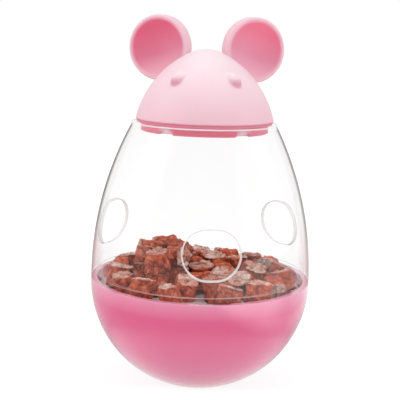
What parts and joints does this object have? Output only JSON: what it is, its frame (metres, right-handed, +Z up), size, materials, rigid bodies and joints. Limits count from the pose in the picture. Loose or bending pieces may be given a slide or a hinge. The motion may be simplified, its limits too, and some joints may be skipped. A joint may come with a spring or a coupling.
{
  "type": "treat dispensing mouse toy",
  "caption": "Self-righting pet toy: weighted ball base, clear egg-shaped shell with oval treat holes, and a pull-off mouse-head lid with dished ears.",
  "frame": {"origin": "middle of the small flat that the ball base stands on", "axes": "+Z up along the toy's axis, the mouse's face looks along -Y, +X is the viewer's right"},
  "size_m": [0.08, 0.08, 0.1352],
  "materials": {
    "base_pink": "gloss",
    "weight_iron": "matte",
    "fastener_steel": "satin",
    "floor_white": "satin",
    "shell_clear": "gloss",
    "head_pink": "satin",
    "ear_pink": "satin",
    "treat_brown": "matte"
  },
  "bodies": {
    "base": {"base_bowl": "base_pink", "counterweight": "weight_iron", "weight_washer": "fastener_steel", "weight_screw": "fastener_steel", "floor_plate": "floor_white", "treat_buttons": "treat_brown", "treat_chunks": "treat_brown"},
    "shell": {"clear_shell": "shell_clear"},
    "lid": {"mouse_head": "head_pink", "ear_left": "ear_pink", "ear_right": "ear_pink"}
  },
  "joints": [
    {"name": "base_twist", "type": "hinge", "parent": "base", "child": "shell", "pos_m": [0, 0, 0.0405], "axis": [0, 0, 1], "range_deg": [0, 30]},
    {"name": "lid_lift", "type": "slide", "parent": "shell", "child": "lid", "axis": [0, 0, 1], "range_m": [0, 0.06]}
  ]
}
